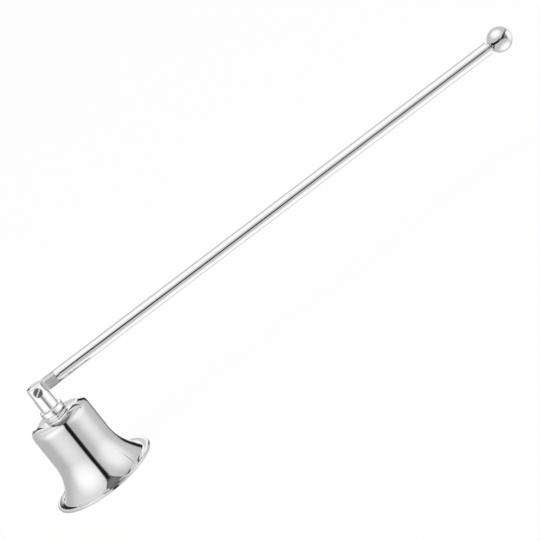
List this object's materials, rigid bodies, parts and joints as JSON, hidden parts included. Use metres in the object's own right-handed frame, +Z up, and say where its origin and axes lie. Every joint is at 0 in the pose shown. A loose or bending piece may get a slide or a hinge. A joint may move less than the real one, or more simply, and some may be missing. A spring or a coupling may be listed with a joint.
{
  "type": "candle snuffer",
  "caption": "Candle snuffer: a flared metal bell on a slotted post, hinged to a long slim round handle that ends in a ball.",
  "frame": {"origin": "centre of the bell's mouth, in the plane of its rim", "axes": "+Z up the bell's axis through the crown; +X along the handle at rest; +Y away from the pivot screw's head"},
  "size_m": [0.2357, 0.0412, 0.0459],
  "materials": {
    "bell_polish": "mirror polish",
    "hinge_polish": "mirror polish",
    "handle_polish": "mirror polish",
    "milled_steel": "dull, as milled",
    "screw_steel": "bright, worn in the slot",
    "plain_steel": "satin"
  },
  "bodies": {
    "bell": {"bell": "bell_polish", "seat_ring": "hinge_polish", "hinge_post": "hinge_polish", "inner_washer": "plain_steel", "lock_washer": "plain_steel", "retaining_nut": "plain_steel", "pivot_screw": "screw_steel"},
    "handle": {"hinge_tongue": "milled_steel", "handle_tube": "handle_polish", "finial_stud": "handle_polish", "ball_finial": "handle_polish"}
  },
  "joints": [
    {"name": "handle_swing", "type": "hinge", "parent": "bell", "child": "handle", "pos_m": [0, 0, 0.0412], "axis": [0, -1, 0], "range_deg": [0, 180]}
  ]
}
